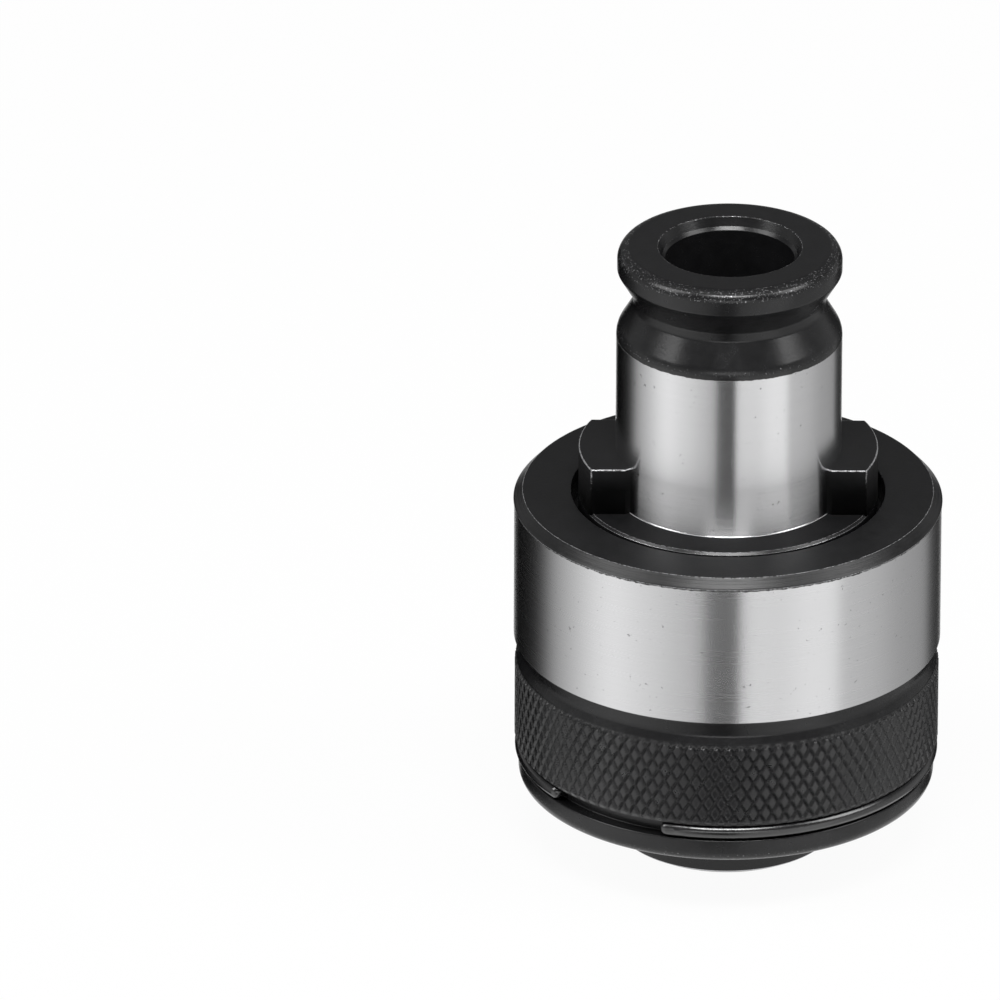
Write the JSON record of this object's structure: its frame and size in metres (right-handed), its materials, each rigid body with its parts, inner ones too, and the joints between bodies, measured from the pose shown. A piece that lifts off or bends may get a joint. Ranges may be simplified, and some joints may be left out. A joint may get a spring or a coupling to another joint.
{
  "type": "quick-change tap adapter",
  "caption": "Quick-change tap adapter: lugged round shank, knurled clutch housing with slotted adjusting nut and wire lock ring, and a push-in collar that grips a square-ended tap.",
  "frame": {"origin": "middle of the release collar's front face, which the part stands on", "axes": "+Z along the tool axis towards the shank's end, +X through one drive lug"},
  "size_m": [0.0362, 0.0362, 0.0544],
  "materials": {
    "black_oxide": "black oxide, satin, worn bright at the edges",
    "ground_steel": "cylindrically ground band, black oxide above and below it",
    "spring_wire": "drawn spring wire",
    "spring_steel": "phosphated spring steel",
    "bearing_steel": "hardened and polished",
    "bronze": "machined bearing bronze"
  },
  "bodies": {
    "driver": {"drive_shank": "black_oxide", "clutch_housing": "ground_steel", "lock_ring": "spring_wire", "spindle_bush": "bronze", "thrust_race_lower": "bearing_steel", "disc_spring_1": "spring_steel", "disc_spring_2": "spring_steel", "disc_spring_3": "spring_steel", "disc_spring_4": "spring_steel"},
    "spindle": {"tap_spindle": "black_oxide", "clutch_balls": "bearing_steel", "ball_cage": "bronze", "thrust_race_upper": "bearing_steel", "collar_circlip": "spring_wire", "release_spring": "spring_wire"},
    "collar": {"release_collar": "black_oxide"},
    "bearing_cage": {"thrust_cage": "bronze", "thrust_balls": "bearing_steel"},
    "spring_seat": {"spring_seat": "black_oxide"},
    "nut": {"adjusting_nut": "black_oxide"},
    "lock_ball_1": {"lock_ball_1": "bearing_steel"},
    "lock_ball_2": {"lock_ball_2": "bearing_steel"},
    "lock_ball_3": {"lock_ball_3": "bearing_steel"}
  },
  "joints": [
    {"name": "clutch_slip", "type": "hinge", "parent": "driver", "child": "spindle", "pos_m": [0, 0, 0.025], "axis": [0, 0, 1], "continuous": true},
    {"name": "collar_push", "type": "slide", "parent": "spindle", "child": "collar", "axis": [0, 0, 1], "range_m": [0, 0.0025], "stiffness_N_per_m": 2500, "springref_m": -0.006, "deforming": ["release_spring"]},
    {"name": "nut_turn", "type": "hinge", "parent": "spring_seat", "child": "nut", "pos_m": [0, 0, 0.008], "axis": [0, 0, 1], "range_deg": [-90, 90], "deforming": ["lock_ring"]},
    {"name": "seat_shift", "type": "slide", "parent": "driver", "child": "spring_seat", "axis": [0, 0, 1], "range_m": [-0.00025, 0.00025], "deforming": ["disc_spring_1", "disc_spring_2", "disc_spring_3", "disc_spring_4"]},
    {"name": "cage_roll", "type": "hinge", "parent": "driver", "child": "bearing_cage", "pos_m": [0, 0, 0.0193], "axis": [0, 0, 1], "continuous": true},
    {"name": "lock_ball_1_out", "type": "slide", "parent": "spindle", "child": "lock_ball_1", "axis": [0, 1, 0], "range_m": [0, 0.00042]},
    {"name": "lock_ball_2_out", "type": "slide", "parent": "spindle", "child": "lock_ball_2", "axis": [-0.866, -0.5, 0], "range_m": [0, 0.00042]},
    {"name": "lock_ball_3_out", "type": "slide", "parent": "spindle", "child": "lock_ball_3", "axis": [0.866, -0.5, 0], "range_m": [0, 0.00042]}
  ],
  "couplings": [
    {"joint": "nut_turn", "follows": "seat_shift", "rad_per_m": 6283.2},
    {"joint": "lock_ball_1_out", "follows": "collar_push", "ratio": 0.16},
    {"joint": "lock_ball_2_out", "follows": "collar_push", "ratio": 0.16},
    {"joint": "lock_ball_3_out", "follows": "collar_push", "ratio": 0.16}
  ]
}
